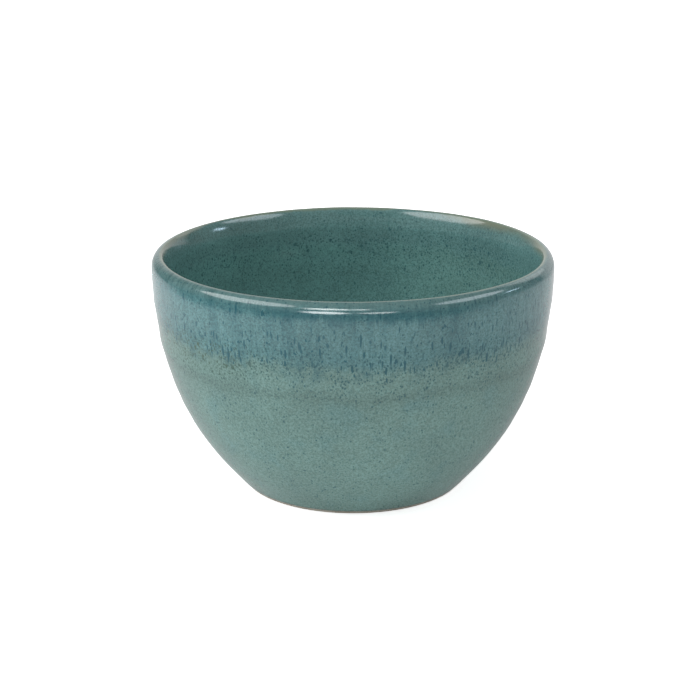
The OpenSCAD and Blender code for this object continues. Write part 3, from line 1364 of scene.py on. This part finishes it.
def put_up(name: str, paper: bpy.types.Material, form: Callable, **how: object) -> bpy.types.Object:
    """Adds a sheet or a card of the studio.

    Args:
        name: its name.
        paper: the material that covers it.
        form: the operator that adds its shape.
        how: that operator's settings.

    Returns:
        The new object.
    """
    bpy.ops.object.select_all(action="DESELECT")
    form(**how)
    sheet = bpy.context.active_object
    sheet.name = name
    sheet.data.materials.append(paper)
    return sheet


def keep_in_shine(card: bpy.types.Object) -> None:
    """Makes a card show in reflections alone, as a thing of the studio.

    Args:
        card: the sheet or card.
    """
    card.visible_camera = False
    card.visible_diffuse = False
    card.visible_shadow = False
    card.visible_transmission = False


@dataclass(frozen=True)
class Softbox:
    """A soft lamp that looks at the bowl, placed by its angles from the bowl's rim."""

    name: str
    round_deg: float
    up_deg: float
    away: float
    width: float
    height: float
    glow: float
    colour: tuple[float, float, float] = WHITE[:3]
    use: LampUse = LampUse.FULL
    roll_deg: float = 0.0

    def hang(self, aim: Vector) -> None:
        """Puts the lamp up, turned to the bowl.

        Args:
            aim: the point that the lamp looks at.
        """
        place, turn = hung_at(aim, self.round_deg, self.up_deg, self.away)
        bpy.ops.object.light_add(type="AREA", location=place, rotation=turn)
        lamp = bpy.context.active_object
        lamp.name = self.name
        lamp.rotation_euler.rotate_axis("Z", math.radians(self.roll_deg))
        lamp.data.shape = "ELLIPSE"
        lamp.data.size = self.width
        lamp.data.size_y = self.height
        lamp.data.color = self.colour
        face_area = math.pi / 4.0 * self.width * self.height
        lamp.data.energy = self.glow * math.pi * face_area
        lamp.visible_camera = False
        lamp.visible_diffuse, lamp.visible_glossy = self.use.value
        log.info("lamp %s", self.name)


@dataclass(frozen=True)
class ShineCard:
    """A bright lens-shaped card whose shine carries only to the near side of the lip."""

    name: str
    round_deg: float
    up_deg: float
    width: float
    height: float
    glow: float
    away: float = 0.8
    reach: float = 0.8
    soft_from: float = 0.35
    soft_to: float = 0.5

    def stand(self, aim: Vector) -> None:
        """Puts the card up, turned to the bowl.

        Args:
            aim: the point that the card looks at.
        """
        place, turn = hung_at(aim, self.round_deg, self.up_deg, self.away)
        plane = bpy.ops.mesh.primitive_plane_add
        card = put_up(self.name, self.glowing_paper(), plane, size=1.0, location=place, rotation=turn)
        card.scale = (self.width, self.height, 1.0)
        keep_in_shine(card)

    def glowing_paper(self) -> bpy.types.Material:
        """Mixes paper that glows in the shape of a lens, for what reflects it from near by.

        Returns:
            The finished material.
        """
        mix = MaterialMix(self.name + "_paper")
        lens = mix.slope(mix.length(mix.place), self.soft_from, self.soft_to, self.glow, 0.0)
        near = mix.sum("LESS_THAN", mix.node("ShaderNodeLightPath").outputs["Ray Length"], self.reach)
        return mix.glow(mix.times(lens, near))


@dataclass
class PhotoStudio:
    """The pale floor, the lamps and the camera.

    Lengths are metres, and the backdrop's fades go by shares of its width.
    """

    rim_h: float
    floor_side: float = 9.0
    floor_paper: Colour = (0.86, 0.86, 0.86, 1.0)
    # Painted shadow: the floor seen in reflections is darker near the bowl, out to the reach below
    floor_shade: Colour = (0.56, 0.56, 0.56, 1.0)
    floor_shine: float = 0.2
    floor_lift: Fade = Fade(0.16, 0.42, 0.75, 1.0)
    floor_shaded: Fade = Fade(0.13, 0.24, 1.0, 0.0)
    dark_paper: Colour = (0.02, 0.02, 0.02, 1.0)
    dark_card_r: float = 0.3
    dark_card_h: float = 0.085
    dark_card_sides: int = 96
    dark_card_skew: float = 0.35
    dark_card_ends: Fade = Fade(-0.12, 0.12, 1.0, 0.0)
    backdrop_away: float = 1.0
    backdrop_w: float = 3.0
    backdrop_h: float = 1.2
    backdrop_left: Fade = Fade(-0.36, -0.05, 0.16, 0.88)
    backdrop_right: Fade = Fade(0.32, 0.5, 1.0, 0.0)
    world_glow: float = 0.3
    eye_away: float = 0.57264
    eye_up_deg: float = 17.387
    eye_aim_h: float = 0.04223
    eye_nearest: float = 0.02
    eye_furthest: float = 20.0
    lens_mm: float = 91.38
    shift_x: float = -0.0045
    shift_y: float = -0.0005
    sky_blue: tuple[float, float, float] = (0.86, 0.93, 1.0)
    window_blue: tuple[float, float, float] = (0.62, 0.82, 1.0)
    lamps: tuple[Softbox, ...] = (
        Softbox("left_softbox", -72.0, 39.0, 0.95, 0.93, 0.55, 5.1, roll_deg=10.0),
        Softbox("right_softbox", 79.0, 38.0, 0.95, 0.74, 0.38, 2.1, use=LampUse.FILL),
        Softbox("right_shine", 79.0, 38.0, 0.9, 0.7, 0.37, 4.2, sky_blue, LampUse.SHINE),
        Softbox("back_shine", 138.0, 28.0, 1.0, 0.52, 0.4, 0.8, use=LampUse.SHINE),
        Softbox("top_softbox", 0.0, 88.0, 1.2, 1.13, 1.13, 0.8, use=LampUse.FILL),
        Softbox("front_fill", -20.0, 3.0, 1.0, 0.8, 0.34, 2.2, use=LampUse.FILL),
        Softbox("table_glow", 0.0, -90.0, 0.0735, 0.7, 0.7, 0.26, use=LampUse.FILL),
        Softbox("window_glint", 99.0, 17.0, 0.9, 0.17, 0.045, 14.0, window_blue, LampUse.SHINE),
    )
    cards: tuple[ShineCard, ...] = (
        ShineCard("upper_card_left", -15.0, 35.0, 0.4, 0.21, 14.0),
        ShineCard("upper_card_right", 5.5, 35.0, 0.13, 0.16, 9.0),
        ShineCard("lower_card_left", -15.0, 10.0, 0.42, 0.24, 14.0),
        ShineCard("lower_card_right", 13.0, 10.0, 0.32, 0.14, 9.0),
    )

    def set_up(self) -> None:
        """Lays the floor, hangs the lamps and sets the camera."""
        self.lay_floor()
        self.stand_dark_card()
        self.stand_backdrop()
        self.dim_room()
        rim = Vector((0.0, 0.0, self.rim_h))
        for lamp in self.lamps:
            lamp.hang(rim)
        for card in self.cards:
            card.stand(rim)
        self.set_camera()
        bpy.context.scene.view_settings.view_transform = "Standard"

    def lay_floor(self) -> None:
        """Lays a wide pale sheet, white to the eye, that still takes the bowl's shadow; in reflections it is
        pale, with a painted shadow near the bowl.
        """
        mix = MaterialMix("pale_sheet")
        path = mix.node("ShaderNodeLightPath").outputs
        seen = mix.sum("MAXIMUM", path["Is Camera Ray"], path["Is Transmission Ray"])
        seen = mix.sum("MAXIMUM", seen, mix.times(path["Is Glossy Ray"], self.floor_shine))
        away = mix.length(mix.place)
        # Painted shadow near the bowl, for reflections only
        shaded = mix.times(path["Is Glossy Ray"], mix.fade(away, self.floor_shaded))
        paper = mix.finish({
            "Base Color": mix.blend(shaded, self.floor_paper, self.floor_shade),
            "Roughness": 1.0,
            "Specular IOR Level": 0.0,
            "Emission Color": WHITE,
            "Emission Strength": mix.times(seen, mix.fade(away, self.floor_lift)),
        })
        floor = put_up("studio_floor", paper, bpy.ops.mesh.primitive_plane_add, size=self.floor_side)

    def stand_dark_card(self) -> None:
        """Stands a low dark card round the front, for the dark line under the rim in the glaze's shine."""
        mix = MaterialMix("dark_paper")
        back = mix.axis(mix.place, "Y")
        behind = mix.sum("MULTIPLY_ADD", mix.axis(mix.place, "X"), self.dark_card_skew, back)
        alpha = mix.fade(behind, self.dark_card_ends)
        paper = mix.finish({"Base Color": self.dark_paper, "Roughness": 1.0, "Alpha": alpha})
        card = put_up(
            "dark_card", paper, bpy.ops.mesh.primitive_cylinder_add, vertices=self.dark_card_sides,
            radius=self.dark_card_r, depth=self.dark_card_h, end_fill_type="NOTHING",
            location=(0.0, 0.0, 0.5 * self.dark_card_h),
        )
        keep_in_shine(card)

    def stand_backdrop(self) -> None:
        """Stands a white sheet behind the bowl, which shows in the shine of the lip and of the sides."""
        mix = MaterialMix("white_sheet")
        paper = mix.glow(mix.fade(mix.axis(mix.place, "X"), self.backdrop_left, self.backdrop_right))
        sheet = put_up(
            "studio_backdrop", paper, bpy.ops.mesh.primitive_plane_add, size=1.0,
            location=(0.0, self.backdrop_away, 0.5 * self.backdrop_h), rotation=(QUARTER_TURN, 0.0, 0.0),
        )
        sheet.scale = (self.backdrop_w, self.backdrop_h, 1.0)
        keep_in_shine(sheet)

    def dim_room(self) -> None:
        """Puts an even, dim room round the lamps."""
        world = bpy.data.worlds.new("dim_room")
        world.use_nodes = True
        sky = world.node_tree.nodes["Background"]
        sky.inputs["Color"].default_value = WHITE
        sky.inputs["Strength"].default_value = self.world_glow
        bpy.context.scene.world = world

    def set_camera(self) -> None:
        """Sets the camera in front of the bowl and a little above it."""
        aim = Vector((0.0, 0.0, self.eye_aim_h))
        up = math.radians(self.eye_up_deg)
        eye = aim + self.eye_away * Vector((0.0, -math.cos(up), math.sin(up)))
        turn = (aim - eye).to_track_quat("-Z", "Y").to_euler()
        bpy.ops.object.camera_add(location=eye, rotation=turn)
        camera = bpy.context.active_object
        camera.name = "front_camera"
        camera.data.lens = self.lens_mm
        camera.data.shift_x = self.shift_x
        camera.data.shift_y = self.shift_y
        camera.data.clip_start = self.eye_nearest
        camera.data.clip_end = self.eye_furthest
        bpy.context.scene.camera = camera


def main() -> None:
    """Builds and dresses the bowl, layer by layer, and sets the studio round it."""
    logging.basicConfig(level=logging.INFO, format="%(name)s: %(message)s")
    section = ThrownSection.from_frame()
    making = (section, PottersWheel(), HandWobble())
    book = PatternBook(section)
    palette = GlazePalette()
    layers = (
        (StonewareBody(*making), BareClayFinish(), "stoneware"),
        (InsideGlaze(*making), GlazeFinish("inside_melt", palette, inside=1.0), "inside_glaze"),
        (OutsideGlaze(*making), GlazeFinish("outside_melt", palette), "outside_glaze"),
        (RimGlaze(*making), GlazeFinish("rim_melt", palette, both_sides=True), "rim_glaze"),
        (UndersideGlaze(*making), GlazeFinish("well_melt", palette), "underside_glaze"),
    )
    for layer, finish, slot in layers:
        layer.dress(layer.build(), finish.material(book), slot)
    PhotoStudio(rim_h=section.crest_h).set_up()


if __name__ == "__main__":
    main()
